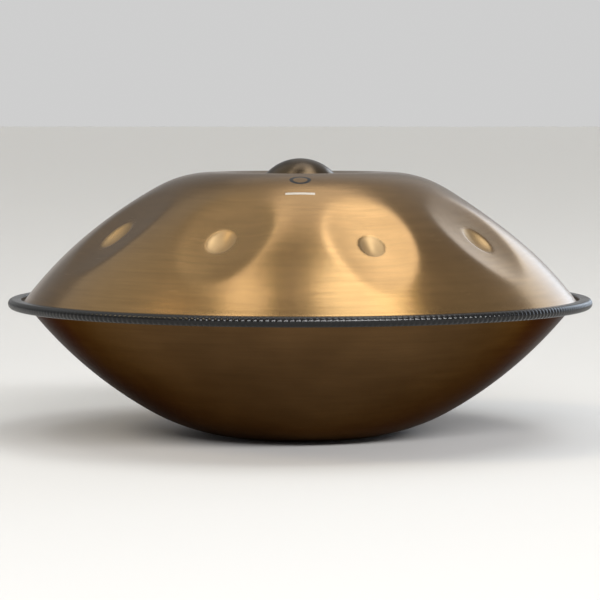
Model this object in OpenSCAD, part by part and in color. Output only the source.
// Handpan: two domed steel shells meet at a flat rim flange, with a push-on trim around it.
// The upper shell carries the ding and a ring of nine tone fields, the lower one the port.
// The origin is the middle of the port lip's lowest circle, where the body rests. +Z is up.
// Azimuths are counted from -Y towards +X. The highest note is near -Y, the lowest near +Y.

/* [Body] */
// Diameter over the rim trim
overall_d = 540; // [530:1:550]
// Height of the middle of the rim above the surface that the port lip rests on
rim_h = 123.2; // [121:0.1:126]
// Thickness of the shell sheet
sheet_t = 1.2; // [1:0.1:1.6]
// Diameter of the two flanges
flange_d = 531; // [529:1:533]
// Radius of the profile of both shells' walls
wall_arc_r = 383; // [380:1:386]
// Radius of the bend between wall and flange
bend_r = 3; // [2:0.5:4]
// Thickness of the glue film between the flanges
glue_t = 0.4; // [0.2:0.1:0.8]

/* [Upper shell] */
// Height of the crest above the middle of the rim
crest_h = 120.2; // [119:0.1:122]
// Radius of the circle on which the crest lies
crest_r = 81.5; // [80:0.5:83]
// Radius of the shoulder's profile
shoulder_arc_r = 104; // [100:1:108]
// Slope at which the shoulder passes into the wall
shoulder_slope = 28; // [27.5:0.1:28.5]

/* [Ding] */
// Radius of the ding's dome
ding_arc_r = 43; // [42:0.5:46]
// Height of the dome above the field around it
ding_h = 15; // [13:0.5:16]
// Radius of the bend at the foot of the dome
ding_foot_r = 3; // [2:0.5:4]
// Radius of the hollow that the shoulder dips into
dip_arc_r = 250; // [240:5:260]
// Slope at which the crest passes into the hollow
dip_slope = 6.5; // [6:0.1:7]

/* [Tone fields] */
// Depth by which the middle of a field is flattened into the wall
field_depth = 4.6; // [3.5:0.1:5.5]
// Depth of a dimple as a share of its radius
dimple_depth_share = 0.28; // [0.22:0.01:0.32]

/* [Lower shell] */
// Slope at which the lower wall passes into the base
base_slope = 30.1; // [29.8:0.1:30.4]
// Radius of the base's profile
base_arc_r = 187; // [184:1:190]
// Slope at which the base passes into the lip
lip_slope = 5.4; // [5.1:0.1:5.7]
// Radius of the lip's profile
lip_arc_r = 11.5; // [10:0.5:13]
// Diameter of the port
port_d = 105; // [100:1:110]
// Height of the straight neck inside the port
neck_h = 20; // [12:1:28]

/* [Rim trim] */
// Height of the trim
trim_h = 9; // [8.5:0.1:10]
// Radial width of the trim
trim_w = 12; // [11.5:0.1:12.2]
// Clearance between the flange edge and the bottom of the trim's slot
slot_gap = 0.3; // [0.1:0.1:0.5]
// Width of the butt joint between the trim's ends
joint_gap = 0.4; // [0.2:0.1:1]
// Azimuth of the butt joint
joint_azimuth = 152; // [140:1:165]
// Thickness of the steel clip inside the trim
clip_t = 0.8; // [0.6:0.1:0.9]
// Thickness of the rubber between the slot and the clip
clip_cover = 0.7; // [0.5:0.1:0.8]

/* [Hidden] */
$fn = 180;

// One row per tone field, from the highest note to the lowest:
// azimuth, radius of the dimple's middle, radius of the dimple's edge
FIELDS = [
    [18.5, 197, 13],
    [-21, 193, 15.5],
    [55, 195, 16],
    [-61, 190, 17],
    [95.5, 190, 17.5],
    [-101.5, 189, 18],
    [136, 188, 18.5],
    [-142, 187, 19],
    [177, 186, 20],
];
// How far up the slope a field's middle lies from its dimple
field_rise = 4;
// Half width and half length of the block that flattens a field
field_block = [62, 70];
// Height of that block, enough to clear the dome's bulge
field_block_h = 30;

trim_r = overall_d / 2;
flange_r = flange_d / 2;
flange_top = glue_t / 2 + sheet_t;
ding_floor = crest_h - (shoulder_arc_r + dip_arc_r) * (1 - cos(dip_slope));
ding_top = ding_floor + ding_h;

// Degrees of profile between two points of an arc, for large and for small arcs
coarse_step = 3.5;
fine_step = 9;
small_arc_r = 50;

// A profile is a chain of arcs, each [middle, radius, first slope, last slope]. An outward
// bulge has a positive radius, a hollow a negative one. Neighbours share a tangent, so the
// next middle lies on the normal through the joint.
function normal(slope) = [sin(slope), cos(slope)];
function next_middle(middle, r, next_r, slope) = middle + (r - next_r) * normal(slope);
function steps(r, turn) = ceil(abs(turn) / (abs(r) > small_arc_r ? coarse_step : fine_step));
function arc_points(arc, inset) = let (turn = arc[3] - arc[2], n = steps(arc[1], turn))
    [for (i = [0:n]) arc[0] + (arc[1] - inset) * normal(arc[2] + turn * i / n)];
function chain_points(arcs, inset) = [for (arc = arcs) each arc_points(arc, inset)];
// Slope at which a wall arc meets the flange's bend
function foot_slope(middle, r) = acos((flange_top + bend_r - middle[1]) / (r + bend_r));

// Upper profile, from the ding's top to the flange, with the middle of the rim at height 0
ding_c = [0, ding_top - ding_arc_r];
ding_slope = acos((ding_floor + ding_foot_r - ding_c[1]) / (ding_arc_r + ding_foot_r));
ding_foot_c = next_middle(ding_c, ding_arc_r, -ding_foot_r, ding_slope);
shoulder_c = [crest_r, crest_h - shoulder_arc_r];
dip_c = next_middle(shoulder_c, shoulder_arc_r, -dip_arc_r, -dip_slope);
wall_c = next_middle(shoulder_c, shoulder_arc_r, wall_arc_r, shoulder_slope);
wall_slope = foot_slope(wall_c, wall_arc_r);
wall_foot_c = next_middle(wall_c, wall_arc_r, -bend_r, wall_slope);
UPPER_ARCS = [
    [ding_c, ding_arc_r, 0, ding_slope],
    [ding_foot_c, -ding_foot_r, ding_slope, 0],
    [dip_c, -dip_arc_r, 0, -dip_slope],
    [shoulder_c, shoulder_arc_r, -dip_slope, shoulder_slope],
    [wall_c, wall_arc_r, shoulder_slope, wall_slope],
    [wall_foot_c, -bend_r, wall_slope, 0],
];

// Lower profile, from the port's neck to the flange, drawn with heights counted downwards
lip_c = [port_d / 2 + lip_arc_r, rim_h - lip_arc_r];
base_c = next_middle(lip_c, lip_arc_r, base_arc_r, lip_slope);
base_wall_c = next_middle(base_c, base_arc_r, wall_arc_r, base_slope);
base_wall_slope = foot_slope(base_wall_c, wall_arc_r);
base_foot_c = next_middle(base_wall_c, wall_arc_r, -bend_r, base_wall_slope);
LOWER_ARCS = [
    [lip_c, lip_arc_r, -90, lip_slope],
    [base_c, base_arc_r, lip_slope, base_slope],
    [base_wall_c, wall_arc_r, base_slope, base_wall_slope],
    [base_foot_c, -bend_r, base_wall_slope, 0],
];

// Solid under the upper profile, inset by the sheet's thickness for its inner face
module upper_core(inset) {
    foot = flange_top - inset;
    translate([0, 0, rim_h])
        rotate_extrude()
            polygon(concat([[0, glue_t / 2 - inset]], chain_points(UPPER_ARCS, inset),
                [[flange_r + inset, foot], [flange_r + inset, glue_t / 2 - inset]]));
}

// Puts its children this far up the slope from a field's dimple and this deep under the
// wall's face, with +Z along the wall's normal
module at_field(field, up_slope, depth) {
    slope = asin((field[1] - wall_c[0]) / wall_arc_r) - up_slope / wall_arc_r * 180 / PI;
    point = wall_c + (wall_arc_r - depth) * normal(slope);
    rotate([0, 0, field[0]])
        translate([0, -point[0], rim_h + point[1]])
            rotate([slope, 0, 0])
                children();
}

// Blocks that stand on the flattened faces of the fields, to cut the dome away above them
module field_blocks(depth) {
    for (field = FIELDS)
        at_field(field, field_rise, depth)
            translate([-field_block[0], -field_block[1], 0])
                cube([2 * field_block[0], 2 * field_block[1], field_block_h]);
}

// Ball whose underside forms a field's dimple, grown for the sheet below it
module dimple_ball(field, grow) {
    depth = field[2] * dimple_depth_share;
    arc_r = (field[2] * field[2] + depth * depth) / (2 * depth);
    at_field(field, 0, field_depth)
        translate([0, 0, arc_r - depth])
            sphere(arc_r + grow);
}

// Sheet below a dimple, cut off at the field's face
module dimple_cup(field) {
    block = field[2] * 2;
    intersection() {
        dimple_ball(field, sheet_t);
        at_field(field, 0, field_depth)
            translate([-block, -block, -block])
                cube([2 * block, 2 * block, block]);
    }
}

module top_shell() {
    color("#b98a55")
        difference() {
            union() {
                difference() {
                    upper_core(0);
                    field_blocks(field_depth);
                    difference() {
                        upper_core(sheet_t);
                        field_blocks(field_depth + sheet_t);
                    }
                }
                for (field = FIELDS)
                    dimple_cup(field);
            }
            for (field = FIELDS)
                dimple_ball(field, 0);
        }
}

module bottom_shell() {
    outer = chain_points(LOWER_ARCS, 0);
    inner = chain_points(LOWER_ARCS, sheet_t);
    neck_top = rim_h - lip_arc_r - neck_h;
    color("#6b4a26")
        translate([0, 0, rim_h])
            mirror([0, 0, 1])
                rotate_extrude()
                    polygon(concat(
                        [[port_d / 2, neck_top]], outer,
                        [[flange_r, flange_top], [flange_r, glue_t / 2]],
                        [for (i = [len(inner) - 1:-1:0]) inner[i]],
                        [[port_d / 2 + sheet_t, neck_top]]));
}

// The film covers the faces that the two flanges share
module flange_adhesive() {
    inner_r = max(wall_foot_c[0], base_foot_c[0]);
    color("#3a3128")
        translate([0, 0, rim_h - glue_t / 2])
            difference() {
                cylinder(h = glue_t, r = flange_r);
                translate([0, 0, -1])
                    cylinder(h = glue_t + 2, r = inner_r);
            }
}

// Section of the trim: a channel with a round nose over the edge of the two flanges
module trim_section() {
    nose_r = trim_h / 2;
    difference() {
        union() {
            translate([trim_r - trim_w, -nose_r])
                square([trim_w - nose_r, trim_h]);
            translate([trim_r - nose_r, 0])
                circle(nose_r);
        }
        translate([trim_r - trim_w - 1, -flange_top])
            square([flange_r + slot_gap - trim_r + trim_w + 1, 2 * flange_top]);
    }
}

// Section of the clip, which follows the slot inside the rubber
module clip_section() {
    leg_z = flange_top + clip_cover;
    back_r = flange_r + slot_gap + clip_cover;
    start_r = trim_r - trim_w + 2 * clip_t;
    difference() {
        translate([start_r, -leg_z - clip_t])
            square([back_r + clip_t - start_r, 2 * (leg_z + clip_t)]);
        translate([start_r - 1, -leg_z])
            square([back_r - start_r + 1, 2 * leg_z]);
    }
}

// Gap between the ends of a ring that is bent from a straight length
module joint_slot(gap) {
    rotate([0, 0, joint_azimuth])
        translate([-gap / 2, -trim_r - 1, -trim_h])
            cube([gap, 2 * trim_w, 2 * trim_h]);
}

module clip_ring() {
    difference() {
        rotate_extrude()
            clip_section();
        joint_slot(joint_gap + 4 * clip_t);
    }
}

module edge_trim() {
    color("#26262a")
        translate([0, 0, rim_h])
            difference() {
                rotate_extrude()
                    trim_section();
                joint_slot(joint_gap);
                clip_ring();
            }
}

module trim_clip() {
    color("silver")
        translate([0, 0, rim_h])
            clip_ring();
}

top_shell();
bottom_shell();
flange_adhesive();
edge_trim();
trim_clip();
